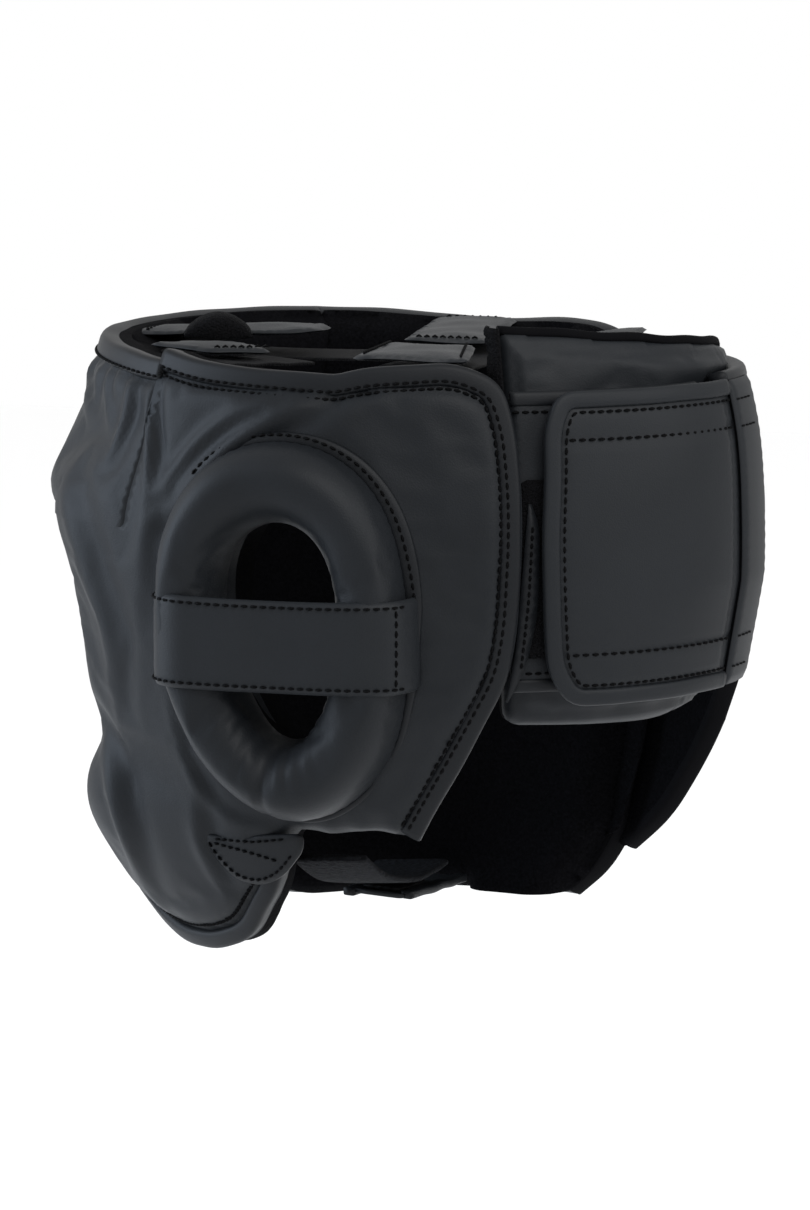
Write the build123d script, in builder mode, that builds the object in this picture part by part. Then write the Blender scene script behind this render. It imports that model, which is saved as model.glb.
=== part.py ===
from build123d import *
import os

# Boxing head guard, in millimetres.  +Z up, the wearer faces -Y, the wearer's left is +X.
# The origin is the midpoint between the two ear openings.

# Outer form: (height, front radius, rear radius, side radius) about the section centre.
LEVELS = [
    (-119, 93, 110, 76),
    (-80, 116, 120, 91),
    (-50, 119, 126, 98),
    (-10, 126, 129, 106),
    (30, 130, 130, 107),
    (62, 122, 128, 103),
    (104, 110, 118, 95),
]
CENTRE_Y = 6
REACH = 150

SKIN = 1.4
GAP = 0.2
SIDE_THICKNESS = 24
BROW_THICKNESS = 30
WING_THICKNESS = 8
PAD_OUTSIDE = 12.5
PAD_INSIDE = 31

RIM_TOP = 93
RIM_SEAM = 88
BROW_SEAM = 32
TEMPLE_Y = -58
PANEL_REAR_Y = 78
CHIN_Z = -119
CHIN_SEAM = -113.5

EAR_CENTRE = (-1, -1)
EAR_OUTER = (46, 65)
HOLE_CENTRE = (-3, 2)
HOLE_SIZE = (21.5, 38)
EAR_TOP_X = 122
EAR_STRAP_HALF = 17
EAR_STRAP_THICK = 2.2

FLAP_ROOT_X = 15
FLAP_EDGE_X = 80
FLAP_BOTTOM = -26
FLAP_TOP = 82
FLAP_CORNER = 14
FLAP_THICKNESS = 3.2

STRAP_Y = (-15, 13)
STRAP_THICK = 2.4

os.makedirs("parts", exist_ok=True)
PARTS = {}


def keep(name, part):
    """Label one finished piece and write it out."""
    part.label = name
    export_step(part, f"parts/{name}.step")
    PARTS[name] = part


def form(inset):
    """Solid of the outer form with its walls moved inwards by inset."""
    with BuildPart() as solid:
        for height, front, rear, side in LEVELS:
            with BuildSketch(Plane.XY.offset(height)):
                with BuildLine():
                    EllipticalCenterArc((0, CENTRE_Y), side - inset, rear - inset, start_angle=0, arc_size=180)
                    EllipticalCenterArc((0, CENTRE_Y), side - inset, front - inset, start_angle=180, arc_size=180)
                make_face()
        loft()
    return solid.part


FORMS = {}


def form_at(inset):
    """Keep one copy of each form, because many pieces share them."""
    key = round(inset, 3)
    if key not in FORMS:
        FORMS[key] = form(key)
    return FORMS[key]


def prism(plane, outline, start, end, corner=0, corners=None, grow=0):
    """Prism of an outline in the given plane, from start to end along its normal."""
    with BuildPart() as solid:
        with BuildSketch(plane.offset(start)) as sketch:
            with BuildLine():
                Polyline(*outline, close=True)
            make_face()
            if corner:
                chosen = sketch.vertices()
                if corners:
                    chosen = [v for v in chosen if any(
                        abs(tuple(v)[0] - a) < 0.01 and abs(tuple(v)[1] - b) < 0.01
                        for a, b in corners)]
                fillet(chosen, corner)
            if grow:
                offset(amount=grow)
        extrude(amount=end - start)
    return solid.part


def along_x(outline, start, end, corner=0):
    """Prism along X of an outline given as (Y, Z)."""
    return prism(Plane.YZ, outline, start, end, corner)


UPRIGHT = Plane(origin=(0, 0, 0), x_dir=(1, 0, 0), z_dir=(0, -1, 0))


def along_y(outline, start, end, corner=0, grow=0):
    """Prism along +Y of an outline given as (X, Z)."""
    return prism(UPRIGHT, outline, -end, -start, corner, grow=grow)


def layer(outer, inner, *cuts, region):
    """Curved sheet between two insets, inside region and clear of the cuts."""
    with BuildPart() as sheet:
        add(form_at(outer))
        add(form_at(inner), mode=Mode.SUBTRACT)
        add(region, mode=Mode.INTERSECT)
        for cut in cuts:
            add(cut, mode=Mode.SUBTRACT)
    return sheet.part


def mirrored(part):
    """The same piece on the wearer's right."""
    return mirror(part, about=Plane.YZ)


# ---------------------------------------------------------------- openings
def face_opening(margin):
    """Opening for the face between the cheeks, grown by margin."""
    half = [(58, 31.7), (57, -12), (42, -58), (40, -90), (47, -125)]
    right = [(x + margin, z) for x, z in half]
    left = [(-x, z) for x, z in reversed(right)]
    return along_y(right + left, -REACH, CENTRE_Y)


def ear_opening(margin, start, end):
    """Elliptical ear opening, grown by margin."""
    with BuildPart() as solid:
        with BuildSketch(Plane.YZ.offset(start)):
            with Locations(HOLE_CENTRE):
                Ellipse(HOLE_SIZE[0] + margin, HOLE_SIZE[1] + margin)
        extrude(amount=end - start)
    return solid.part


FACE = face_opening(0)
EARS = ear_opening(0, -REACH, REACH)

# ---------------------------------------------------------------- forehead
brow_region = along_x(
    [(-REACH, BROW_SEAM), (TEMPLE_Y, BROW_SEAM), (TEMPLE_Y, RIM_SEAM), (-REACH, RIM_SEAM)],
    -REACH, REACH)
keep("forehead_cover", layer(0, SKIN, region=brow_region))
keep("forehead_foam", layer(SKIN + GAP, BROW_THICKNESS - SKIN, region=brow_region))
keep("forehead_lining", layer(BROW_THICKNESS - SKIN + GAP, BROW_THICKNESS, region=brow_region))

brow_rim = along_x(
    [(-REACH, RIM_SEAM + GAP), (TEMPLE_Y, RIM_SEAM + GAP), (TEMPLE_Y, RIM_TOP), (-REACH, RIM_TOP)],
    -REACH, REACH)
keep("forehead_binding", layer(-1.2, BROW_THICKNESS, region=brow_rim))


# ---------------------------------------------------------------- side panels
def upper_edge(inset):
    """Rim and rear edge of a side panel as (Y, Z), moved in by inset."""
    return [
        (TEMPLE_Y + GAP, RIM_TOP - inset),
        (62 - inset, RIM_TOP - inset),
        (72 - inset, 83 - inset),
        (PANEL_REAR_Y - inset, 50),
        (PANEL_REAR_Y - inset, 0),
    ]


BODY_INSET = RIM_TOP - RIM_SEAM
FRONT_EDGE = [(-REACH, CHIN_SEAM), (-REACH, BROW_SEAM - GAP), (TEMPLE_Y + GAP, BROW_SEAM - GAP)]
CHEEK_BACK = [(-14, -92), (-30, -108), (-54, CHIN_SEAM)]
left_body = along_x(
    FRONT_EDGE + upper_edge(BODY_INSET) + [(70, -16), (37, -73), (0, -73)] + CHEEK_BACK,
    4, REACH)
left_rear_outline = upper_edge(0) + [(75, -17), (42, -73), (37.3, -73), (70.2, -15.8)]
left_rear_outline = left_rear_outline + list(reversed(
    [(y + GAP, z + GAP) for y, z in upper_edge(BODY_INSET)]))
left_rim = along_x(left_rear_outline, 4, REACH)

right_body = along_x(
    FRONT_EDGE + upper_edge(BODY_INSET) + [(70, -78), (48, CHIN_SEAM)], 4, REACH)
right_rear_outline = upper_edge(0) + [(75, -81), (70.2, -77.8)]
right_rear_outline = right_rear_outline + list(reversed(
    [(y + GAP, z + GAP) for y, z in upper_edge(BODY_INSET)]))
right_rim = along_x(right_rear_outline, 4, REACH)

left_chin = along_x(
    [(-REACH, CHIN_SEAM - GAP), (-54, CHIN_SEAM - GAP), (-29.8, -108.2), (-13.8, -92),
     (-8, -94), (-27, -113), (-54, CHIN_Z), (-REACH, CHIN_Z)], 4, REACH)
right_chin = along_x(
    [(-REACH, CHIN_SEAM - GAP), (48.2, CHIN_SEAM - GAP), (70.3, -78), (74.5, -81.5),
     (51, CHIN_Z), (-REACH, CHIN_Z)], 4, REACH)


def side_panel(side, body, rim, chin, flip):
    """Cover, foam, lining and bindings of one side panel with its cheek."""
    pieces = {
        f"{side}_cover": layer(0, SKIN, FACE, EARS, region=body),
        f"{side}_foam": layer(SKIN + GAP, SIDE_THICKNESS - SKIN, FACE, EARS, region=body),
        f"{side}_lining": layer(
            SIDE_THICKNESS - SKIN + GAP, SIDE_THICKNESS, FACE, EARS, region=body),
        f"{side}_rim_binding": layer(-1.2, SIDE_THICKNESS, region=rim),
        f"{side}_chin_binding": layer(-1.2, SIDE_THICKNESS, FACE, region=chin),
    }
    for name, part in pieces.items():
        keep(name, mirrored(part) if flip else part)


side_panel("left", left_body, left_rim, left_chin, False)
side_panel("right", right_body, right_rim, right_chin, True)


# ---------------------------------------------------------------- ear guards
def ear_ring(inset):
    """Oval ring that stands out from the side panel, its walls moved in by inset."""
    with BuildPart() as ring:
        with BuildSketch(Plane.YZ.offset(70)):
            with Locations(EAR_CENTRE):
                Ellipse(EAR_OUTER[0] - inset, EAR_OUTER[1] - inset)
            with Locations(HOLE_CENTRE):
                Ellipse(HOLE_SIZE[0] + inset, HOLE_SIZE[1] + inset, mode=Mode.SUBTRACT)
        extrude(amount=EAR_TOP_X - 70 - inset)
        fillet(ring.faces().sort_by(Axis.X)[-1].edges(), 9 - inset)
        add(form_at(-0.3 - inset), mode=Mode.SUBTRACT)
    return ring.part


with BuildPart() as ear_cover:
    add(ear_ring(0))
    add(ear_ring(SKIN), mode=Mode.SUBTRACT)
ear_foam = ear_ring(SKIN + GAP)

with BuildPart() as ear_strap:
    with BuildSketch(Plane.XY.offset(EAR_CENTRE[1] - EAR_STRAP_HALF)):
        with Locations((EAR_TOP_X + 0.3 + EAR_STRAP_THICK - 30, EAR_CENTRE[0])):
            RectangleRounded(60, 2 * (EAR_OUTER[0] + 0.3 + EAR_STRAP_THICK), 9)
        with Locations((EAR_TOP_X + 0.3 - 30, EAR_CENTRE[0])):
            RectangleRounded(60, 2 * (EAR_OUTER[0] + 0.3), 7, mode=Mode.SUBTRACT)
        with Locations((EAR_TOP_X - 58, EAR_CENTRE[0])):
            Rectangle(40, 120, mode=Mode.SUBTRACT)
    extrude(amount=2 * EAR_STRAP_HALF)
    add(form_at(-0.3), mode=Mode.SUBTRACT)

for side, flip in (("left", False), ("right", True)):
    keep(f"{side}_ear_cover", mirrored(ear_cover.part) if flip else ear_cover.part)
    keep(f"{side}_ear_foam", mirrored(ear_foam) if flip else ear_foam)
    keep(f"{side}_ear_strap", mirrored(ear_strap.part) if flip else ear_strap.part)

# ---------------------------------------------------------------- rear: right wing
BEHIND = PANEL_REAR_Y + 0.4
RIGHT_WING = [
    (-96, 80), (-96, -60), (-78, -78), (-70, -60), (-60, -34), (-46, -21),
    (FLAP_ROOT_X - 3, -21), (FLAP_ROOT_X - 3, 80),
]
wing_region = along_y(RIGHT_WING, BEHIND, REACH)
keep("right_wing_cover", layer(0, SKIN, region=wing_region))
keep("right_wing_foam", layer(SKIN + GAP, WING_THICKNESS - SKIN, region=wing_region))
keep("right_wing_lining", layer(WING_THICKNESS - SKIN + GAP, WING_THICKNESS, region=wing_region))
wing_edge = along_y(RIGHT_WING, BEHIND, REACH, grow=3)
wing_gap = along_y(RIGHT_WING, BEHIND - 1, REACH, grow=GAP)
keep("right_wing_binding", layer(-0.8, WING_THICKNESS, wing_gap, region=wing_edge))

# ---------------------------------------------------------------- rear: left wing
LEFT_WING = [(22, -16), (100, -16), (100, 76), (22, 76)]
left_wing_region = along_y(LEFT_WING, BEHIND, REACH)
keep("left_wing", layer(8.4, 11.6, region=left_wing_region))
wing_top = along_y([(22, 76.2), (100, 76.2), (100, 81), (22, 81)], BEHIND, REACH)
wing_low = along_y([(22, -21), (100, -21), (100, -16.2), (22, -16.2)], BEHIND, REACH)
keep("left_wing_top_binding", layer(7.6, 12, region=wing_top))
keep("left_wing_low_binding", layer(7.6, 12, region=wing_low))
loop_region = along_y([(26, -8), (82, -8), (82, 44), (26, 44)], BEHIND + 2, REACH)
keep("loop_field", layer(6.4, 8.2, region=loop_region))


# ---------------------------------------------------------------- rear: flap
def flap_outline(inset):
    """Flap outline as a prism, moved in by inset on its three free edges."""
    low, high, edge = FLAP_BOTTOM + inset, FLAP_TOP - inset, FLAP_EDGE_X - inset
    root = FLAP_ROOT_X + 0.4
    return prism(
        UPRIGHT, [(root, low), (edge, low), (edge, high), (root, high)],
        -REACH, -60, FLAP_CORNER - inset, [(edge, low), (edge, high)])


keep("rear_flap", layer(0, FLAP_THICKNESS, region=flap_outline(5)))
keep("rear_flap_binding", layer(-0.8, 4, flap_outline(4.8), region=flap_outline(0)))
hook_region = along_y([(34, -14), (70, -14), (70, 70), (34, 70)], 60, REACH)
keep("rear_hook_patch", layer(FLAP_THICKNESS + GAP, FLAP_THICKNESS + 1.8, region=hook_region))

# ---------------------------------------------------------------- rear pad
PAD_OUTLINE = [(-62, -24), (-50, -34), (84, -36), (84, 101), (-20, 101), (-62, 82)]
pad_region = along_y(PAD_OUTLINE, BEHIND, REACH)
keep("rear_pad_cover", layer(PAD_OUTSIDE, PAD_OUTSIDE + SKIN, region=pad_region))
keep("rear_pad_foam", layer(PAD_OUTSIDE + SKIN + GAP, PAD_INSIDE - SKIN, region=pad_region))
keep("rear_pad_lining", layer(PAD_INSIDE - SKIN + GAP, PAD_INSIDE, region=pad_region))


# ---------------------------------------------------------------- crown straps
with BuildPart() as head_space:
    add(form_at(SIDE_THICKNESS + 0.3))
    with BuildSketch(Plane.XY.offset(60)):
        with Locations((0, (TEMPLE_Y + PANEL_REAR_Y) / 2)):
            Rectangle(2 * REACH, PANEL_REAR_Y - TEMPLE_Y - 1)
    extrude(amount=60, mode=Mode.INTERSECT)
    add(form_at(PAD_INSIDE + 0.3))


def plate(outline, low, thick):
    """Flat strap of an outline (X, Y) inside the head opening."""
    with BuildPart() as strap:
        with BuildSketch(Plane.XY.offset(low)):
            with BuildLine():
                Polyline(*outline, close=True)
            make_face()
        extrude(amount=thick)
        add(head_space.part, mode=Mode.INTERSECT)
    return strap.part


ACROSS = [(-100, 6), (100, 18), (100, 54), (-100, 42)]
ALONG = [(-20, -100), (16, -100), (6, 74), (-30, 74)]
CORNER_STRAP = [(30, -34), (60, -80), (100, -60), (58, -14)]
keep("crown_web_across", plate(ACROSS, 88.4, 1.6))
keep("crown_web_along", plate(ALONG, 84.4, 1.6))
keep("crown_web_corner", plate(CORNER_STRAP, 86.4, 1.6))
keep("crown_tab_left", plate([(34, 13), (100, 17), (100, 55), (30, 51)], 90.3, 1.6))
keep("crown_tab_right", plate([(-100, 5), (-6, 10), (-8, 46), (-100, 43)], 90.3, 1.6))
keep("crown_tab_corner", plate([(36, -36), (62, -78), (100, -60), (56, -20)], 88.3, 1.6))
keep("crown_tab_rear", plate([(-24, 42), (0, 42), (-2, 74), (-26, 74)], 86.3, 1.6))

with BuildPart() as crown_tab_front:
    with BuildSketch(Plane.XY.offset(92.4)):
        with Locations((-2, -44)):
            SlotOverall(52, 30, rotation=90)
    extrude(amount=1.6)
keep("crown_tab_front", crown_tab_front.part)

with BuildPart() as crown_strap_tip:
    with BuildSketch(Plane.XY.offset(94.4)):
        with Locations((14, -52)):
            SlotOverall(34, 26, rotation=60)
    extrude(amount=4)
keep("crown_strap_tip", crown_strap_tip.part)


# ---------------------------------------------------------------- chin strap
def strap_band(start, middle, end, thick, y_low, y_high):
    """Bowed band under the chin: a three-point arc in XZ given some thickness, along Y."""
    (x0, z0), (x1, z1), (x2, z2) = start, middle, end
    with BuildPart() as band:
        with BuildSketch(Plane(origin=(0, y_low, 0), x_dir=(1, 0, 0), z_dir=(0, -1, 0))):
            with BuildLine():
                ThreePointArc((x0, z0), (x1, z1), (x2, z2))
                Line((x2, z2), (x2, z2 + thick))
                ThreePointArc((x2, z2 + thick), (x1, z1 + thick), (x0, z0 + thick))
                Line((x0, z0 + thick), (x0, z0))
            make_face()
        extrude(amount=-(y_high - y_low))
    return band.part


STRAP_LOW, STRAP_HIGH = STRAP_Y
keep("chin_loop_strap", strap_band(
    (61, -90), (22, -105.5), (-26, -107), STRAP_THICK, STRAP_LOW, STRAP_HIGH))
keep("chin_strap", strap_band(
    (-51, -113.5), (-22, -113), (12, -112.4), STRAP_THICK, STRAP_LOW + 5, STRAP_HIGH - 5))
keep("chin_strap_binding_front", strap_band(
    (-51, -114), (-22, -113.5), (12, -112.9), STRAP_THICK + 1, STRAP_LOW + 1, STRAP_LOW + 4.8))
keep("chin_strap_binding_rear", strap_band(
    (-51, -114), (-22, -113.5), (12, -112.9), STRAP_THICK + 1, STRAP_HIGH - 4.8, STRAP_HIGH - 1))
keep("chin_hook_patch", strap_band(
    (-20, -110.4), (-5, -110.1), (9, -109.8), 1.5, STRAP_LOW + 7, STRAP_HIGH - 7))

patch_region = along_x([(-36, -76), (-2, -76), (-13, -90), (-24, -92)], 4, REACH, 3)
keep("left_chin_anchor", layer(-1.8, -0.3, region=patch_region))
keep("right_chin_anchor", mirrored(layer(
    -1.8, -0.3, region=along_x([(-20, -84), (16, -84), (6, -104), (-12, -104)], 4, REACH, 3))))

for name, part in PARTS.items():
    box = part.bounding_box()
    print(f"{name:28s} {part.volume / 1000:9.2f} cm3  X {box.min.X:7.1f} {box.max.X:7.1f}"
          f"  Y {box.min.Y:7.1f} {box.max.Y:7.1f}  Z {box.min.Z:7.1f} {box.max.Z:7.1f}")
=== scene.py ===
import math

import bmesh
import bpy
import numpy as np
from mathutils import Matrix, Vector
from mathutils.geometry import delaunay_2d_cdt


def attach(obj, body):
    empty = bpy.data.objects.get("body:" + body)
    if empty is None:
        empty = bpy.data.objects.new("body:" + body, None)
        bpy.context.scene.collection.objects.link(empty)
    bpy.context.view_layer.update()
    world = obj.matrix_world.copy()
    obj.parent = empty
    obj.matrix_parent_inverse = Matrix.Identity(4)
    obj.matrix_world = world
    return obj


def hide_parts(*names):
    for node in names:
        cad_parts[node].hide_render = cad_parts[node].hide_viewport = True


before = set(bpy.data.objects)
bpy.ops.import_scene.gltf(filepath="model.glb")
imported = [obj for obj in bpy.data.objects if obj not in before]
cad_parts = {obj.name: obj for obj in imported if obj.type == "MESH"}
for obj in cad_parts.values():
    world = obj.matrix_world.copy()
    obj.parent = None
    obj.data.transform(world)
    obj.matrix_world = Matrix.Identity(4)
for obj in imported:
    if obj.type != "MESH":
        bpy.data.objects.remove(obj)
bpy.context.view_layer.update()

MM = 0.001
SPAN = 2.04              # millimetres of surface for one degree round the head
REAR_SEAM = 123.6        # degrees from the front to the rear edge of a side panel
MESH_STEP = 2.4          # millimetres between the vertices of a panel
CORNER = 5.0             # usual size of a rounded corner, in millimetres
SETTLE_FRAMES = 16       # frames for which the covers settle as cloth

# Outer form of the guard: height, front, rear and side radius, as in the solids.
LEVELS = np.array([
    (-119, 93, 110, 76), (-80, 116, 120, 91), (-50, 119, 126, 98), (-10, 126, 129, 106),
    (30, 130, 130, 107), (62, 122, 128, 103), (104, 110, 118, 95)], float)
CENTRE_Y = 6.0


# ------------------------------------------------------------------ the form
def smooth_table():
    """Radii every millimetre of height, on a smooth curve through LEVELS."""
    heights = np.arange(-130.0, 116.0)
    z = LEVELS[:, 0]
    columns = []
    for k in (1, 2, 3):
        v = LEVELS[:, k]
        slope = np.gradient(v, z)
        i = np.clip(np.searchsorted(z, heights) - 1, 0, len(z) - 2)
        h = z[i + 1] - z[i]
        t = np.clip((heights - z[i]) / h, -0.2, 1.2)
        a = 2 * t**3 - 3 * t**2 + 1
        b = t**3 - 2 * t**2 + t
        c = -2 * t**3 + 3 * t**2
        d = t**3 - t**2
        columns.append(a * v[i] + b * h * slope[i] + c * v[i + 1] + d * h * slope[i + 1])
    return heights, columns


HEIGHTS, RADII = smooth_table()


def place(theta, z, depth=0.0):
    """Points at theta degrees from the front, towards the wearer's left, in millimetres."""
    theta, z, depth = np.broadcast_arrays(
        np.asarray(theta, float), np.asarray(z, float), np.asarray(depth, float))
    front, rear, side = (np.interp(z, HEIGHTS, column) for column in RADII)
    t = np.radians(theta)
    forward = -np.cos(t)
    turn = np.mod(theta, 360)
    tuck = 5.0 * np.clip((turn - 140) / 30, 0, 1) * np.clip((215 - turn) / 25, 0, 1)
    depth = depth + tuck * np.clip((12 - z) / 38, 0, 1)
    length = np.where(forward < 0, front, rear) - depth
    return np.stack([(side - depth) * np.sin(t), CENTRE_Y + length * forward, z], -1)


def normals(theta, z):
    """Outward unit normals of the form."""
    along = place(np.asarray(theta) + 0.5, z) - place(np.asarray(theta) - 0.5, z)
    up = place(theta, np.asarray(z) + 1) - place(theta, np.asarray(z) - 1)
    n = np.cross(along, up)
    return n / np.linalg.norm(n, axis=-1, keepdims=True)


# ------------------------------------------------------------------ meshes
def build(name, verts, faces, mats, face_mats=None):
    """Object from vertices in millimetres."""
    mesh = bpy.data.meshes.new(name)
    mesh.from_pydata([tuple(v) for v in np.asarray(verts) * MM], [], [tuple(f) for f in faces])
    for mat in mats:
        mesh.materials.append(mat)
    if face_mats is not None:
        mesh.polygons.foreach_set("material_index", np.asarray(face_mats, np.int32))
    mesh.polygons.foreach_set("use_smooth", np.full(len(mesh.polygons), True))
    mesh.update()
    obj = bpy.data.objects.new(name, mesh)
    bpy.context.collection.objects.link(obj)
    return obj


def resample(points, step, closed=True):
    """Points evenly spaced along a polyline."""
    p = np.asarray(points, float)
    if closed:
        p = np.vstack([p, p[:1]])
    seg = np.linalg.norm(np.diff(p, axis=0), axis=1)
    s = np.concatenate([[0], np.cumsum(seg)])
    n = max(3, int(round(s[-1] / step)))
    t = np.linspace(0, s[-1], n + 1)
    out = np.stack([np.interp(t, s, p[:, k]) for k in range(p.shape[1])], -1)
    return out[:-1] if closed else out


def rounded(points, radius=CORNER, closed=True):
    """Polyline with its corners replaced by short curves. Points may carry their own radius."""
    p = [np.array(q[:2], float) for q in points]
    r = [q[2] if len(q) > 2 else radius for q in points]
    out = []
    n = len(p)
    for i in range(n):
        if not closed and i in (0, n - 1):
            out.append(p[i])
            continue
        a, b, c = p[i - 1], p[i], p[(i + 1) % n]
        la, lc = np.linalg.norm(a - b), np.linalg.norm(c - b)
        cut = min(r[i], 0.45 * la, 0.45 * lc)
        start, end = b + (a - b) / la * cut, b + (c - b) / lc * cut
        for t in np.linspace(0, 1, 7):
            out.append((1 - t)**2 * start + 2 * t * (1 - t) * b + t**2 * end)
    return np.array(out)


def flat(points):
    """Outline points given in degrees and height, as millimetres on the unrolled form."""
    return [(q[0] * SPAN, *q[1:]) for q in points]


def inside(points, loop):
    """Which points are inside a closed loop."""
    x, y = points[:, 0], points[:, 1]
    hit = np.zeros(len(points), bool)
    a, b = loop, np.roll(loop, -1, 0)
    for (x0, y0), (x1, y1) in zip(a, b):
        if y0 == y1:
            continue
        cross = ((y0 > y) != (y1 > y)) & (x < (x1 - x0) * (y - y0) / (y1 - y0) + x0)
        hit ^= cross
    return hit


def distance(points, line, closed=True):
    """Distance of each point to a polyline, and how far along it the nearest place is."""
    a = line if closed else line[:-1]
    b = np.roll(line, -1, 0) if closed else line[1:]
    best = np.full(len(points), 1e9)
    where = np.zeros(len(points))
    lengths = np.linalg.norm(b - a, axis=1)
    total = lengths.sum()
    done = 0.0
    for p, q, length in zip(a, b, lengths):
        if length < 1e-9:
            continue
        t = np.clip(((points - p) @ (q - p)) / length**2, 0, 1)
        d = np.linalg.norm(points - p - t[:, None] * (q - p), axis=1)
        near = d < best
        best = np.where(near, d, best)
        where = np.where(near, (done + t * length) / total, where)
        done += length
    return best, where


def crease(uv, points, width, height, valley):
    """Long soft fold in the covering: a ridge with a valley beside it."""
    line = rounded(flat(points), 12, closed=False)
    d, t = distance(uv, line, closed=False)
    tangent = np.gradient(line, axis=0)
    nearest = np.clip((t * (len(line) - 1)).astype(int), 0, len(line) - 1)
    off = uv - line[nearest]
    side = np.sign(tangent[nearest, 0] * off[:, 1] - tangent[nearest, 1] * off[:, 0])
    fade = np.sin(np.pi * np.clip(0.08 + 0.84 * t, 0, 1))
    ridge = np.exp(-(d / width)**2)
    trough = np.exp(-((d * side - 1.7 * width) / (1.1 * width))**2)
    return height * fade * (ridge - valley * trough)


def ripple(uv, seed, size, height):
    """Slow uneven rise and fall of padded leather."""
    rng = np.random.default_rng(seed)
    total = np.zeros(len(uv))
    for _ in range(14):
        angle = rng.uniform(0, math.pi)
        wave = rng.uniform(0.7, 1.6) * 2 * math.pi / size
        phase = rng.uniform(0, 2 * math.pi)
        total += np.sin(wave * (uv @ np.array([math.cos(angle), math.sin(angle)])) + phase)
    return height * total / 14**0.5


def mesh_region(outer, holes, step):
    """Triangles that fill an outline on the unrolled form, all turned the same way."""
    loops = [resample(outer, step)] + [resample(hole, step) for hole in holes]
    low, high = loops[0].min(0), loops[0].max(0)
    rows = np.arange(low[1] + step / 2, high[1], step * 0.87)
    grid = []
    for i, y in enumerate(rows):
        xs = np.arange(low[0] + (step / 2 if i % 2 else 0), high[0], step)
        grid.append(np.stack([xs, np.full(len(xs), y)], -1))
    grid = np.vstack(grid)
    keep = inside(grid, loops[0])
    for hole in loops[1:]:
        keep &= ~inside(grid, hole)
    for loop in loops:
        keep &= distance(grid, loop)[0] > 0.55 * step
    points = np.vstack(loops + [grid[keep]])
    edges, start = [], 0
    for loop in loops:
        n = len(loop)
        edges += [(start + i, start + (i + 1) % n) for i in range(n)]
        start += n
    verts, _, faces, _, _, _ = delaunay_2d_cdt(
        [Vector(p) for p in points], edges, [], 0, 1e-5, True)
    uv = np.array([(v.x, v.y) for v in verts])
    faces = np.array([f for f in faces if len(f) == 3])
    middle = uv[faces].mean(1)
    good = inside(middle, loops[0])
    for hole in loops[1:]:
        good &= ~inside(middle, hole)
    faces = faces[good]
    a, b = uv[faces[:, 1]] - uv[faces[:, 0]], uv[faces[:, 2]] - uv[faces[:, 0]]
    flip = (a[:, 0] * b[:, 1] - a[:, 1] * b[:, 0]) < 0
    faces[flip] = faces[flip][:, ::-1]
    return uv, faces, loops


def boundary(faces):
    """Directed edges that belong to one triangle only."""
    edges = set()
    for f in faces:
        for a, b in ((f[0], f[1]), (f[1], f[2]), (f[2], f[0])):
            if (b, a) in edges:
                edges.remove((b, a))
            else:
                edges.add((a, b))
    return edges


def edge_depth(uv, edges, loops):
    """Depth below the full form: each edge has a line, a flat shelf, and a rounded shoulder."""
    total = np.zeros(len(uv))
    for line, shelf, depth, width in edges:
        if line == "hole":
            d = np.min([distance(uv, loop)[0] for loop in loops[1:]], axis=0)
        elif line is None:
            d = distance(uv, loops[0])[0]
        else:
            d = distance(uv, rounded(flat(line), closed=False), closed=False)[0]
        t = np.clip(1 - (d - shelf) / width, 0, 1)
        total = np.maximum(total, depth * (1 - np.sqrt(np.clip(1 - t**2, 0, 1))))
    return total


def panel(name, outline, mats, thick, out_edges, in_edges, holes=(), base=0.0, step=MESH_STEP,
          relief=None, flush=()):
    """Padded panel on the form: outer cover, lining, and a rounded edge between them.

    Along a flush line the cover runs on into the next panel, so it isn't shaded round there.
    """
    outer = rounded(flat(outline))
    hole_loops = [np.array(flat(h)) for h in holes]
    uv, faces, loops = mesh_region(outer, hole_loops, step)
    theta, z = uv[:, 0] / SPAN, uv[:, 1]
    dist = np.min([distance(uv, loop)[0] for loop in loops], axis=0)
    top = base + edge_depth(uv, out_edges, loops)
    if relief is not None:
        top = top - relief(uv, dist)
    low = base + thick - edge_depth(uv, in_edges, loops)
    low = np.maximum(low, top + 0.8)
    rim = boundary(faces)
    n = len(uv)
    verts = [place(theta, z, top), place(theta, z, low)]
    ring = sorted({v for edge in rim for v in edge})
    middle = {v: 2 * n + i for i, v in enumerate(ring)}
    verts.append(place(theta[ring], z[ring], (top[ring] + low[ring]) / 2))
    quads = []
    for i, j in rim:
        quads.append((j, i, middle[i], middle[j]))
        quads.append((middle[j], middle[i], i + n, j + n))
    all_faces = [tuple(f) for f in faces] + [tuple(f[::-1] + n) for f in faces] + quads
    face_mats = [0] * len(faces) + [1] * len(faces) + [0, 1] * (len(quads) // 2)
    obj = build(name, np.vstack(verts), all_faces, mats, face_mats)
    if flush:
        lines = [np.array(flat(line)) for line in flush]
        near = np.min([distance(uv, line, closed=False)[0] for line in lines], axis=0)
        for edge in obj.data.edges:
            i, j = edge.vertices
            edge.use_edge_sharp = bool(max(i, j) < n and near[i] < 1.0 and near[j] < 1.0)
    group = obj.vertex_groups.new(name="seam")
    held = np.clip((9.0 - dist) / 7.0, 0, 1)
    for i, weight in enumerate(held):
        if weight > 0:
            group.add([i], float(weight), "REPLACE")
    group.add(list(range(n, 2 * n + len(ring))), 1.0, "REPLACE")
    return obj


def layer(name, outline, mats, thick, base, outside, underside, owner, fill=None, **options):
    """Panel with one shoulder all round on each side, and what it rides on and stands for."""
    made = panel(name, outline, mats, thick, [(None, *outside)], [(None, *underside)], base=base,
                 **options)
    return own(made, *owner, fill=fill)


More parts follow.
